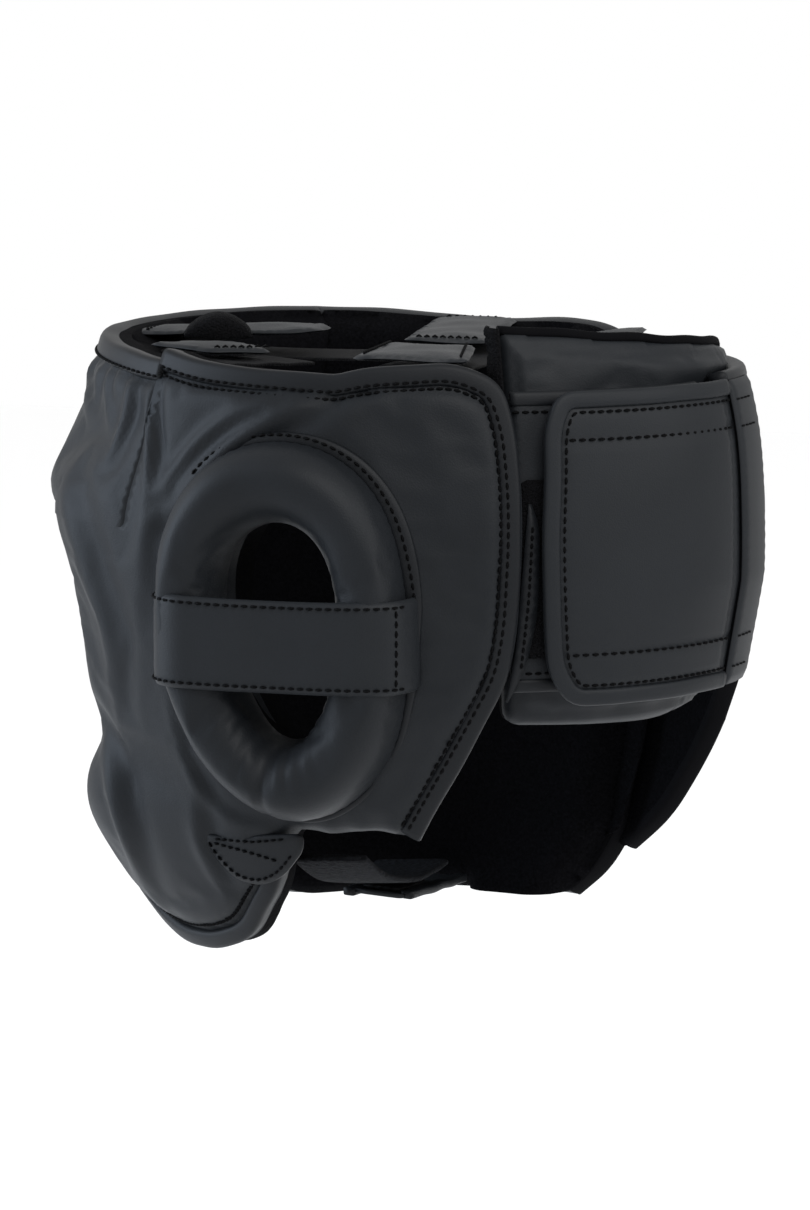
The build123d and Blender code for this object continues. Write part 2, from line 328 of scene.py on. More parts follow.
def stuff(obj, pressure, cap, slack=0.012):
    """Let the cover settle as cloth over its stuffing, held along its seams and its lining.

    No vertex moves further than cap millimetres.
    """
    before = np.empty(len(obj.data.vertices) * 3)
    obj.data.vertices.foreach_get("co", before)
    cloth = obj.modifiers.new("stuffing", "CLOTH")
    cloth.settings.vertex_group_mass = "seam"
    cloth.settings.quality = 6
    cloth.settings.mass = 0.25
    cloth.settings.tension_stiffness = 18
    cloth.settings.compression_stiffness = 18
    cloth.settings.bending_stiffness = 0.8
    cloth.settings.shrink_min = -slack
    cloth.settings.use_pressure = True
    cloth.settings.uniform_pressure_force = pressure
    cloth.settings.effector_weights.gravity = 0
    cloth.collision_settings.use_collision = False
    cloth.point_cache.frame_end = SETTLE_FRAMES
    for step in range(1, SETTLE_FRAMES + 1):
        bpy.context.scene.frame_set(step)
    settled = obj.evaluated_get(bpy.context.evaluated_depsgraph_get()).to_mesh()
    after = np.empty(len(before))
    settled.vertices.foreach_get("co", after)
    obj.evaluated_get(bpy.context.evaluated_depsgraph_get()).to_mesh_clear()
    obj.modifiers.remove(cloth)
    move = (after - before).reshape(-1, 3)
    length = np.linalg.norm(move, axis=1, keepdims=True)
    move *= np.minimum(1.0, cap * MM / np.maximum(length, 1e-9))
    obj.data.vertices.foreach_set("co", before + move.reshape(-1))
    obj.data.update()
    bpy.context.scene.frame_set(1)
    return obj


def sweep(name, centres, across, up, half_w, half_h, mats, power=2.6, sides=14, closed=False):
    """Tube of superellipse section along a line, with its own directions at each point."""
    centres, across, up = (np.asarray(v, float) for v in (centres, across, up))
    half_w = np.broadcast_to(np.asarray(half_w, float), len(centres))
    half_h = np.broadcast_to(np.asarray(half_h, float), len(centres))
    angles = np.arange(sides) * 2 * math.pi / sides
    c, s = np.cos(angles), np.sin(angles)
    cx = np.sign(c) * np.abs(c) ** (2 / power)
    sy = np.sign(s) * np.abs(s) ** (2 / power)
    verts = (centres[:, None] + across[:, None] * (half_w[:, None] * cx)[..., None]
             + up[:, None] * (half_h[:, None] * sy)[..., None]).reshape(-1, 3)
    faces = []
    n = len(centres)
    for i in range(n if closed else n - 1):
        j = (i + 1) % n
        for k in range(sides):
            m = (k + 1) % sides
            faces.append((i * sides + k, i * sides + m, j * sides + m, j * sides + k))
    if not closed:
        for row, order in ((0, -1), (n - 1, 1)):
            verts = np.vstack([verts, centres[row]])
            hub = len(verts) - 1
            for k in range(sides):
                m = (k + 1) % sides
                pair = (row * sides + m, row * sides + k)
                faces.append((hub, *pair[::order]))
    obj = build(name, verts, faces, mats)
    fix_normals(obj)
    return obj


def fix_normals(obj):
    """Turn every face outwards."""
    bm = bmesh.new()
    bm.from_mesh(obj.data)
    bmesh.ops.recalc_face_normals(bm, faces=bm.faces)
    bm.to_mesh(obj.data)
    bm.free()


def leftward(p, closed=False):
    """Unit directions to the left of a line, at each of its points."""
    tangent = np.roll(p, -1, 0) - np.roll(p, 1, 0) if closed else np.gradient(p, axis=0)
    tangent /= np.linalg.norm(tangent, axis=1, keepdims=True)
    return np.stack([-tangent[:, 1], tangent[:, 0]], -1)


def lay_on_form(p, left, depth):
    """Places on the form for points of the unrolled form, and the unit direction of left there."""
    centres = place(p[:, 0] / SPAN, p[:, 1], depth)
    ahead = p + left
    across = place(ahead[:, 0] / SPAN, ahead[:, 1], depth) - centres
    return centres, across / np.linalg.norm(across, axis=1, keepdims=True)


def edge_band(name, line, width, out_depth, in_depth, mats, wobble=0.0, power=3.2):
    """Binding folded over the edge of a panel. The line runs along the edge, inside to its left.

    A depth is a number, or a function of the angle round the head.
    """
    overhang = 0.6
    p = resample(rounded(flat(line), closed=False), 2.2, closed=False)
    inward = leftward(p)
    mid = p + inward * (width / 2 - overhang)
    k = np.arange(len(mid))
    mid = mid + inward * (wobble * np.sin(k * 0.31) * np.sin(k * 0.083 + 1))[:, None]
    theta, z = mid[:, 0] / SPAN, mid[:, 1]
    outer, inner = (d(theta) if callable(d) else d for d in (out_depth, in_depth))
    centres, across = lay_on_form(mid, inward, (outer + inner) / 2)
    half_h = (inner - outer) / 2
    return sweep(name, centres, across, normals(theta, z), width / 2, half_h, mats, power, 18)


class Thread:
    """Stitches that belong to one body, gathered into one object."""

    def __init__(self, name, body):
        self.name, self.body, self.verts, self.faces = name, body, [], []

    def row(self, points, ups, pitch=3.4, length=2.4, thick=0.50):
        """Row of stitches along points in millimetres, with the outward direction at each."""
        p, ups = np.asarray(points, float), np.asarray(ups, float)
        seg = np.linalg.norm(np.diff(p, axis=0), axis=1)
        s = np.concatenate([[0], np.cumsum(seg)])
        for start in np.arange(pitch * 0.3, s[-1] - length, pitch):
            ends = [np.array([np.interp(t, s, p[:, k]) for k in range(3)])
                    for t in (start, start + length / 2, start + length)]
            up = np.array([np.interp(start, s, ups[:, k]) for k in range(3)])
            up /= np.linalg.norm(up)
            self.stitch(ends, up, thick)

    def stitch(self, ends, up, thick):
        """One stitch: a six-sided spindle through three points."""
        ahead = ends[2] - ends[0]
        ahead /= np.linalg.norm(ahead)
        across = np.cross(up, ahead)
        first = len(self.verts)
        for centre, size, rise in zip(ends, (0.55, 1.0, 0.55), (-0.25, 0.55, -0.25)):
            for a in np.arange(6) * math.pi / 3:
                self.verts.append(centre + up * thick * (rise + size * math.sin(a))
                                  + across * (thick * 1.15 * size * math.cos(a)))
        for k in (first, first + 6):
            for j in range(6):
                m = (j + 1) % 6
                self.faces.append((k + j, k + m, k + 6 + m, k + 6 + j))
        self.faces.append(tuple(first + j for j in reversed(range(6))))
        self.faces.append(tuple(first + 12 + j for j in range(6)))

    def on_form(self, line, depth, **options):
        """Row of stitches on the form, along a line in degrees and height."""
        p = resample(rounded(flat(line), closed=False), 1.5, closed=False)
        theta, z = p[:, 0] / SPAN, p[:, 1]
        self.row(place(theta, z, depth), normals(theta, z), **options)

    def finish(self, mat):
        obj = build(self.name, self.verts, self.faces, [mat])
        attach(obj, self.body)
        return obj


# ------------------------------------------------------------------ materials
def material(name, colour, rough, build_nodes, specular=0.10):
    """Plain dark material whose colour and relief come from its own nodes."""
    mat = bpy.data.materials.new(name)
    mat.use_nodes = True
    nodes, links = mat.node_tree.nodes, mat.node_tree.links
    shader = nodes["Principled BSDF"]
    shader.inputs["Roughness"].default_value = rough
    shader.inputs["Specular IOR Level"].default_value = specular
    build_nodes(nodes, links, shader, colour)
    return mat


def node(nodes, kind, **values):
    """New shader node, with inputs or settings given by name."""
    made = nodes.new(kind)
    for key, value in values.items():
        if key in made.inputs:
            made.inputs[key].default_value = value
        else:
            setattr(made, key, value)
    return made


def textures(nodes, links, *made):
    """Run texture nodes on the object's own coordinates."""
    coords = node(nodes, "ShaderNodeTexCoord")
    for tex in made:
        links.new(coords.outputs["Object"], tex.inputs["Vector"])


def paint(nodes, links, shader, factor, stops, colours):
    """Base colour that runs from one colour to another between two stops."""
    made = nodes.new("ShaderNodeValToRGB")
    for element, stop, colour in zip(made.color_ramp.elements, stops, colours):
        element.position = stop
        element.color = (*colour, 1)
    links.new(factor, made.inputs["Fac"])
    links.new(made.outputs["Color"], shader.inputs["Base Color"])


def emboss(nodes, links, shader, operation, first, second, strength, distance):
    """Fine relief from two textures, added or multiplied."""
    mix = node(nodes, "ShaderNodeMath", operation=operation)
    links.new(first, mix.inputs[0])
    links.new(second, mix.inputs[1])
    relief = node(nodes, "ShaderNodeBump", Strength=strength, Distance=distance)
    links.new(mix.outputs["Value"], relief.inputs["Height"])
    links.new(relief.outputs["Normal"], shader.inputs["Normal"])
    return mix.outputs["Value"]


def shade(colour, factor):
    return tuple(min(1.0, c * factor) for c in colour)


def leather_nodes(grain, bump, spread):
    """Matte synthetic leather: fine pebbled grain, cloudy colour and uneven gloss."""
    def nodes_for(nodes, links, shader, colour):
        cells = node(nodes, "ShaderNodeTexVoronoi", Scale=grain)
        cloud = node(nodes, "ShaderNodeTexNoise", Scale=26.0, Detail=4.0)
        fine = node(nodes, "ShaderNodeTexNoise", Scale=grain * 2.2, Detail=3.0)
        textures(nodes, links, cells, cloud, fine)
        paint(nodes, links, shader, cloud.outputs["Fac"], (0.3, 0.75),
              (shade(colour, 1 - spread), shade(colour, 1 + spread)))
        gloss = node(nodes, "ShaderNodeMapRange")
        gloss.inputs["To Min"].default_value = shader.inputs["Roughness"].default_value - 0.05
        gloss.inputs["To Max"].default_value = shader.inputs["Roughness"].default_value + 0.07
        links.new(fine.outputs["Fac"], gloss.inputs["Value"])
        links.new(gloss.outputs["Result"], shader.inputs["Roughness"])
        emboss(nodes, links, shader, "ADD", cells.outputs["Distance"], fine.outputs["Fac"],
               bump, 0.0004)
    return nodes_for


def weave_nodes(scale, bump):
    """Tight ribbed webbing: two crossed waves."""
    def nodes_for(nodes, links, shader, colour):
        warp = node(nodes, "ShaderNodeTexWave", Scale=scale, Distortion=0.6)
        weft = node(nodes, "ShaderNodeTexWave", Scale=scale * 0.8, Distortion=0.8,
                    bands_direction="Y")
        textures(nodes, links, warp, weft)
        crossed = emboss(nodes, links, shader, "MULTIPLY", warp.outputs["Fac"],
                         weft.outputs["Fac"], bump, 0.0006)
        paint(nodes, links, shader, crossed, (0.0, 0.8), (shade(colour, 0.45), shade(colour, 1.7)))
    return nodes_for


def pile_nodes(scale, bump):
    """Fuzzy loop pile: coarse grainy noise."""
    def nodes_for(nodes, links, shader, colour):
        fuzz = node(nodes, "ShaderNodeTexNoise", Scale=scale, Detail=6.0, Roughness=0.8)
        curl = node(nodes, "ShaderNodeTexVoronoi", Scale=scale * 0.8)
        textures(nodes, links, fuzz, curl)
        paint(nodes, links, shader, fuzz.outputs["Fac"], (0.35, 0.7),
              (shade(colour, 0.3), shade(colour, 2.4)))
        emboss(nodes, links, shader, "ADD", fuzz.outputs["Fac"], curl.outputs["Distance"],
               bump, 0.0012)
    return nodes_for


COVER = material("cover_leather", (0.0054, 0.0063, 0.0076), 0.50,
                 leather_nodes(1500, 0.16, 0.10))
TRIM = material("binding_leather", (0.0044, 0.0050, 0.0060), 0.48,
                leather_nodes(1900, 0.12, 0.12))
TAB = material("tab_leather", (0.0068, 0.0078, 0.0092), 0.50,
               leather_nodes(1700, 0.14, 0.10))
LINING = material("lining_suede", (0.0012, 0.0012, 0.0015), 0.9,
                  pile_nodes(900, 0.25), specular=0.02)
WEB = material("webbing", (0.0028, 0.0028, 0.0034), 0.8, weave_nodes(420, 0.9),
               specular=0.08)
COARSE = material("coarse_loop", (0.0048, 0.0052, 0.0062), 0.9,
                  pile_nodes(620, 1.0), specular=0.05)
# Darker copy of the binding leather with the same grain: painted shade, for binding edges that fall
# in shade at the rear and on the far side.
SHADED_TRIM = material("binding_leather_painted_shade", (0.0016, 0.0016, 0.0020), 0.8,
                     leather_nodes(1900, 0.12, 0.12), specular=0.03)
LOOP = material("loop_pile", (0.0024, 0.0024, 0.0028), 0.95,
                pile_nodes(1400, 0.9), specular=0.05)
HOOK = material("hook_tape", (0.0030, 0.0030, 0.0036), 0.6, weave_nodes(900, 0.9),
                specular=0.1)
THREAD = material("black_thread", (0.0010, 0.0010, 0.0012), 0.6,
                  weave_nodes(2500, 0.4), specular=0.04)


def own(obj, body, slot_name, *nodes_replaced, fill=None):
    """Say what a piece rides on and what it replaces; its fill, how it is stuffed, is not used."""
    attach(obj, body)
    if nodes_replaced:
        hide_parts(*nodes_replaced)
    return obj


def mirror_theta(points):
    """The same outline on the wearer's right."""
    return [(-q[0], *q[1:]) for q in reversed(points)]


# ------------------------------------------------------------------ forehead and sides
TEMPLE = 55.5
EAR_CENTRE = (-3.0, -1.0)
EAR_TOP = 122.5
RING = [(-48, 11), (-42, 42), (-36, 52), (-22, 62), (-9, 65), (5, 64.5), (17, 60), (29, 50),
        (36, 37), (40, 20), (41, -2), (40, -23), (34.5, -42), (25, -56), (13, -65), (2, -68.5),
        (-6, -67), (-20, -59.5), (-31.5, -48), (-40.5, -30), (-46.5, -12)]
HOLE = [(-24.5, 8), (-24, 22), (-18.5, 31.5), (-10, 36.5), (-3, 37.5), (4, 36), (10, 31.5),
        (14, 24.5), (17, 12), (17.3, -2), (14.8, -18), (11, -29), (5.5, -37.5), (-2, -40.5),
        (-9, -37.5), (-14.5, -27.5), (-19.5, -16), (-23.3, -4)]


def egg(points, angle):
    """Radius of a closed outline at an angle from its top, smoothed."""
    p = np.array(points, float) - EAR_CENTRE
    at = np.arctan2(p[:, 0], p[:, 1])
    order = np.argsort(at)
    at, radius = at[order], np.hypot(p[:, 0], p[:, 1])[order]
    turn = 2 * math.pi
    at = np.concatenate([at - turn, at, at + turn])
    radius = np.tile(radius, 3)
    total = 0
    for offset in np.linspace(-0.16, 0.16, 9):
        total = total + np.interp((angle + offset + math.pi) % turn - math.pi, at, radius)
    return total / 9


def ear_edge(outline, angle, grow=0.0):
    """Edge of the ear ring, RING or HOLE, as Y and Z at angles from its top."""
    r = egg(outline, angle) + grow
    return EAR_CENTRE[0] + r * np.sin(angle), EAR_CENTRE[1] + r * np.cos(angle)


def theta_at(y, z):
    """Angle round the form of a place on the side given by Y and Z."""
    front, rear, _ = (np.interp(z, HEIGHTS, column) for column in RADII)
    length = np.where(y < CENTRE_Y, front, rear)
    return np.degrees(np.arccos(np.clip(-(y - CENTRE_Y) / length, -1, 1)))


def hole_outline(grow):
    """Ear opening on the unrolled form."""
    angle = np.linspace(0, 2 * math.pi, 72, endpoint=False)
    y, z = ear_edge(HOLE, angle, grow)
    return [(float(t), float(h)) for t, h in zip(theta_at(y, z), z)]


RIM_Z = 92.0
LEFT_EDGE = [(TEMPLE - 0.2, 92.5, 3), (66, 89, 12), (80, 88, 12), (93, 87, 2), (98, 89.5, 6),
             (113.5, 92, 9), (121.2, 85, 14), (123.2, 70, 14), (REAR_SEAM + 0.8, 38, 14),
             (REAR_SEAM, 0, 14), (122.0, -17, 10)]
TAIL = (106.8, -74, 3)
LEFT_LOW = [(98, -71.5, 8), (92, -74, 8), (84, -72, 6), (81, -86, 10), (78, -97, 10),
            (67.5, -115.5, 12), (56, -121.3, 14), (42, -122, 12), (30.5, -116.5, 8)]
FRONT = [(23.5, -106.5, 4), (25.0, -97, 6), (24.0, -78, 16), (26.0, -62, 14), (31.5, -38, 16),
         (33.5, -10, 20), (32.0, 14, 20), (26.5, 31.0, 2), (TEMPLE - 0.2, 31.0, 2)]
RIGHT_EDGE = [(TEMPLE - 0.2, 94.5, 3), (66, 94, 12), (80, 92, 12), (92, 90.5, 10),
              (106, 92, 10), (114.5, 91, 9)] + LEFT_EDGE[6:-1]
RIGHT_EDGE += [(124.2, -60, 10), (124.8, -92, 4), (121.0, -107, 8)]
RIGHT_TAIL = (115.0, -116.8, 4)
RIGHT_LOW = [(92, -116.5, 20), (69, -117.5, 20), (58, -119.5, 14), (44, -120, 12), (32, -113, 10)]
SIDE_SEAMS = [((TEMPLE - 0.2, RIM_Z), (TEMPLE - 0.2, 31)), ((TEMPLE - 0.2, 31), (26.5, 31))]


# Long folds of the covering: where each runs, its width, height and the valley beside it.
FOLDS = [
    ([(93.5, 86), (86, 76), (78, 67), (71, 54), (66, 40)], 4.6, 3.4, 0.9),
    ([(86, 84), (80, 77), (73.6, 71), (67.5, 61), (63, 46)], 3.0, 1.8, 0.9),
    ([(99, 82), (93, 72), (85, 65), (77, 59)], 6.0, 1.6, 0.7),
    ([(62, 50), (60.3, 30), (59, 5)], 4.5, 1.2, 0.5),
    ([(61.5, -24), (65, -54), (72, -70), (80, -73)], 2.6, 1.2, 0.8),
    ([(36, -46), (44, -60), (46.5, -80), (41, -106)], 5.5, 2.8, 0.8),
    ([(66, -60), (65.5, -80), (66.5, -100)], 4.0, 1.6, 1.0),
    ([(98, -70), (99.5, -56), (103.5, -40), (106, -22)], 4.6, 1.6, 0.7),
    ([(30, 52), (41, 28), (48, -8), (48, -50)], 6.5, 2.2, 0.8),
    ([(54.5, 84), (55.0, 72), (58, 58), (59.5, 44)], 2.6, 2.0, 1.0),
    ([(46, 84), (48, 72), (46, 54)], 3.5, 1.6, 0.8),
    ([(14, 82), (22, 70), (33, 64)], 3.0, 1.2, 0.7),
    ([(34, 84), (37, 73), (43, 62)], 2.6, 1.2, 0.7)]


def cover_relief(uv, dist):
    """Folds, dents and fullness of the covering, for the forehead and one side."""
    theta, z = uv[:, 0] / SPAN, uv[:, 1]
    total = ripple(uv, 3, 70, 0.4) * np.clip(dist / 14, 0, 1)
    for points, width, height, valley in FOLDS:
        total += crease(uv, points, width, height, valley)
    notch = np.exp(-(((theta - 33) / 9)**2 + ((z + 47) / 10)**2))
    cheek = np.exp(-(((theta - 36) / 14)**2 + ((z + 72) / 18)**2))
    front = 1 / (1 + np.exp((theta - 56) / 4))
    brow = front * (2.8 * np.exp(-((z - 35) / 15)**2) - 3.0 * np.exp(-((z - 70) / 18)**2))
    gather = np.sin(theta * 0.75) * np.sin(theta * 0.23 + 1) * np.exp(-((z - 80) / 9)**2)
    bottom = np.exp(-((z + 73) / 5)**2) * np.clip((theta - 84) / 4, 0, 1)
    wave = 0.9 * np.sin((theta - 84) * 1.1) * bottom
    return total - 3.4 * notch + 4.0 * cheek + brow + 0.9 * gather * front + wave


def brow_relief(uv, dist):
    """Covering of the forehead, which meets each side without a step."""
    return cover_relief(np.c_[np.abs(uv[:, 0]), uv[:, 1]], dist)


def side_edges(edge, tail, low):
    """How the edges of a side panel fall away, outside and inside."""
    bound, chin = edge + [tail], low[3:] + FRONT[:1]
    outside = [(bound, 7.5, 3.2, 7), (chin, 6.5, 4.0, 8), ([tail] + low[:4], 0, 5, 10),
               (FRONT[1:-1], 0, 6, 13), ("hole", 0, 1.5, 4)]
    outside.append((list(SIDE_SEAMS[0]), 0, 0.3, 1.5))
    inside_edges = [(bound, 2, 12, 14), (low, 1, 9, 12), (FRONT[1:-1], 0, 12, 15),
                    ("hole", 0, 2, 4)]
    return outside, inside_edges


def mirrored(edges):
    return [(mirror_theta(line) if isinstance(line, list) else line, *rest)
            for line, *rest in edges]


BROW_RIM = [(-TEMPLE, 94.5, 2), (-40, 95, 20), (-20, 94.2, 20), (0, 93.5, 20), (20, 92.5, 20),
            (40, 90.5, 20), (TEMPLE, 88.5, 2)]
BROW_LOW = [(TEMPLE, 31.0, 2), (26.5, 31.0, 2), (14, 33.5, 20), (0, 34.5, 20), (-14, 33.5, 20),
            (-26.5, 31.0, 2), (-TEMPLE, 31.0, 2)]
brow_out = [(BROW_RIM, 7.5, 3.2, 7), (BROW_LOW[1:-1], 0, 6, 13)]
brow_in = [(BROW_RIM, 2, 17, 16), (BROW_LOW[1:-1], 0, 16, 16)]
for temple in (-TEMPLE, TEMPLE):
    brow_out.append(([(temple, RIM_Z), (temple, 31)], 0, 0.3, 1.5))
    brow_in.append(([(temple, RIM_Z), (temple, 31)], 0, 6, 8))
brow = panel("forehead_pad", BROW_RIM + BROW_LOW, [COVER, LINING], 30, brow_out, brow_in,
             relief=brow_relief, flush=[SIDE_SEAMS[1], mirror_theta(SIDE_SEAMS[1])])
own(stuff(brow, 1.0, 2.5, slack=0.006), "shell", "cover_leather", "forehead_cover",
    "forehead_foam", "forehead_lining", fill=0.8)

outside, within = side_edges(LEFT_EDGE, TAIL, LEFT_LOW)
left_side = panel("left_side_pad", LEFT_EDGE + [TAIL] + LEFT_LOW + FRONT, [COVER, LINING], 24,
                  outside, within, holes=[hole_outline(4)], relief=cover_relief,
                  flush=[SIDE_SEAMS[1]])
own(stuff(left_side, 1.0, 2.5, slack=0.006), "shell", "cover_leather", "left_cover",
    "left_foam", "left_lining", fill=0.7)


def right_relief(uv, dist):
    """Covering of the right side, a mirror of the left."""
    return cover_relief(uv * np.array([-1, 1]), dist)


outside, within = side_edges(RIGHT_EDGE, RIGHT_TAIL, RIGHT_LOW)
right_side = panel("right_side_pad", mirror_theta(RIGHT_EDGE + [RIGHT_TAIL] + RIGHT_LOW + FRONT),
                   [COVER, LINING], 24, mirrored(outside), mirrored(within),
                   holes=[mirror_theta(hole_outline(4))], relief=right_relief,
                   flush=[mirror_theta(SIDE_SEAMS[1])])
own(stuff(right_side, 1.0, 2.5, slack=0.006), "shell", "cover_leather", "right_cover",
    "right_foam", "right_lining", fill=0.7)

shell_thread = Thread("shell_stitches", "shell")


def rim_bindings():
    """Bindings of the rim, the rear edges and the chins."""
    left_line = (LEFT_EDGE + [TAIL])[::-1]
    right_rim = mirror_theta(RIGHT_EDGE[:8])
    right_rear = mirror_theta(RIGHT_EDGE[7:] + [RIGHT_TAIL])
    left_chin = LEFT_LOW[3:] + FRONT[:1]
    right_chin = mirror_theta([RIGHT_TAIL] + RIGHT_LOW + FRONT[:1])[::-1]
    for name, line, cad, width in (
            ("forehead_rim_binding", BROW_RIM[::-1], "forehead_binding", 8.4),
            ("left_edge_binding", left_line, "left_rim_binding", 8.4),
            ("right_edge_binding", right_rim, "right_rim_binding", 8.4),
            ("left_chin_edge", left_chin, "left_chin_binding", 7.4),
            ("right_chin_edge", right_chin, "right_chin_binding", 7.4)):
        if inward_is_outside(name, line):
            line = line[::-1]
        obj = edge_band(name, line, width, 1.9, 12.0, [TRIM], wobble=0.2, power=4.0)
        own(obj, "shell", "binding", cad)
        if "chin" in name:
            shell_thread.on_form(shifted(line, width), 2.4, pitch=2.0, length=2.3, thick=0.7)
            continue
        shell_thread.on_form(shifted(line, width - 3.4), 1.75)
        if "edge" in name:
            shell_thread.on_form(shifted(line, width - 0.9), 2.0, pitch=3.1)
    if inward_is_outside("right", right_rear):
        right_rear = right_rear[::-1]
    # The far side's rear edge binding is drawn in the painted-shade copy of the binding leather.
    own(edge_band("right_rear_edge", right_rear, 8.4, 1.9, 12.0, [SHADED_TRIM], power=4.0),
        "shell", "binding", "right_rim_binding")


def inward_is_outside(name, line):
    """Whether a line runs the wrong way round its panel."""
    middle = {"forehead": (0, 60), "left": (75, -20), "right": (-75, -20)}[name.split("_")[0]]
    p = resample(rounded(flat(line), closed=False), 3.0, closed=False)
    return np.sum(leftward(p) * (np.array([middle[0] * SPAN, middle[1]]) - p)) < 0


def shifted(line, inset):
    """A line moved inwards, to the left of its direction, on the unrolled form."""
    p = resample(rounded(flat(line), closed=False), 3.0, closed=False)
    left = leftward(p)
    moved = p + left * inset
    ahead = np.stack([left[:, 1], -left[:, 0]], -1)
    step = np.einsum("ij,ij->i", np.gradient(moved, axis=0), ahead)
    return [(float(x) / SPAN, float(z), 1.0) for x, z in moved[step > 0.2]]


rim_bindings()

# ------------------------------------------------------------------ ear guards
def surface_x(y, z, depth=0.0):
    """X of the form's left side at a given Y and Z."""
    t = np.radians(theta_at(y, z))
    side = np.interp(z, HEIGHTS, RADII[2]) - depth
    return side * np.sin(t)


def ear_ring(name, side):
    """Padded ring: down to the panel outside, and through the panel to the lining inside."""
    around, across, wall = 180, 30, 8    # vertices round the ring, over it and down the hole
    seam_angle = 3.20                    # where the cover is joined, from the top, in radians
    angle = np.linspace(0, 2 * math.pi, around, endpoint=False)
    oy, oz = ear_edge(RING, angle)
    hy, hz = ear_edge(HOLE, angle)
    seat = surface_x(oy, oz, 1.0)
    base = surface_x(hy, hz, 3.0)
    from_seam = np.abs((angle - seam_angle + math.pi) % (2 * math.pi) - math.pi)
    seam = np.exp(-(from_seam / 0.022)**2)
    gather = np.exp(-(from_seam / 0.35)**2) * np.cos(from_seam * 52)
    uneven = 0.35 * np.sin(angle * 5 + 1) * np.sin(angle * 2) + 0.2 * np.sin(angle * 11)
    rows = []
    for k in range(across):
        a = math.pi * k / (across - 1)
        c = math.cos(a)
        mix = 0.5 - 0.5 * math.copysign(abs(c) ** 0.82, c)
        rise = math.sin(a) ** 0.78
        y, z = oy + (hy - oy) * mix, oz + (hz - oz) * mix
        floor_x = seat * (1 - mix) + base * mix
        top = EAR_TOP - 1.6 * (mix - 0.45)**2 * 4
        inner = 1 / (1 + math.exp(-(mix - 0.55) * 14))
        dent = -2.6 * seam * math.sin(a) + 0.9 * gather * inner * math.sin(a) + uneven * rise
        dent = dent - 1.8 * np.exp(-(from_seam / 0.10)**2) * inner * math.sin(a)
        rows.append(np.stack([floor_x + (top - floor_x) * rise + dent, y, z], -1))
    inner_x = surface_x(hy, hz, 22.5)
    for k in range(1, wall):
        s = k / (wall - 1)
        y, z = ear_edge(HOLE, angle, 3.5 * min(1, s * 4) - 1.5 * math.sin(math.pi * s))
        rows.append(np.stack([base * (1 - s) + inner_x * s, y, z], -1))
    verts = np.vstack(rows)
    verts[:, 0] *= side
    faces, face_mats = [], []
    total = len(rows)
    for k in range(total):
        m = (k + 1) % total
        for i in range(around):
            j = (i + 1) % around
            faces.append((k * around + i, k * around + j, m * around + j, m * around + i))
            face_mats.append(0 if k < across - 1 else 1)
    obj = build(name, verts, faces, [COVER, LINING], face_mats)
    fix_normals(obj)
    group = obj.vertex_groups.new(name="seam")
    group.add(list(range(across * around, len(verts))), 1.0, "REPLACE")
    for k in range(across):
        edge = min(k, across - 1 - k)
        weight = max(0.0, 1 - edge / 5)
        if weight > 0:
            group.add(list(range(k * around, (k + 1) * around)), weight, "REPLACE")
    seam_ring = [i for i in range(around) if seam[i] > 0.3]
    group.add([k * around + i for k in range(across) for i in seam_ring], 0.8, "REPLACE")
    return stuff(obj, 2.5, 3)


def ear_flange(name, side):
    """Flat stitched flange that joins the ring to the panel."""
    angle = np.linspace(0, 2 * math.pi, 150, endpoint=False)
    flare = np.clip(np.cos(angle - 0.9), 0, 1) ** 2
    y, z = ear_edge(RING, angle, 0.4 + 1.6 * flare)
    line = [(float(t) * side, float(h)) for t, h in zip(theta_at(y, z), z)]
    if side < 0:
        line = line[::-1]
    p = np.array(flat(line))
    centres, across = lay_on_form(p, leftward(p, closed=True), -0.9)
    ups = normals(p[:, 0] / SPAN, p[:, 1])
    obj = sweep(name, centres, across, ups, 1.4 + 2.2 * flare, 1.1, [TRIM], 2.4, 10, True)
    y, z = ear_edge(RING, np.linspace(-0.6, 1.9, 90), 2.4)
    shell_thread.on_form([(float(t) * side, float(h)) for t, h in zip(theta_at(y, z), z)], -2.0)
    return obj


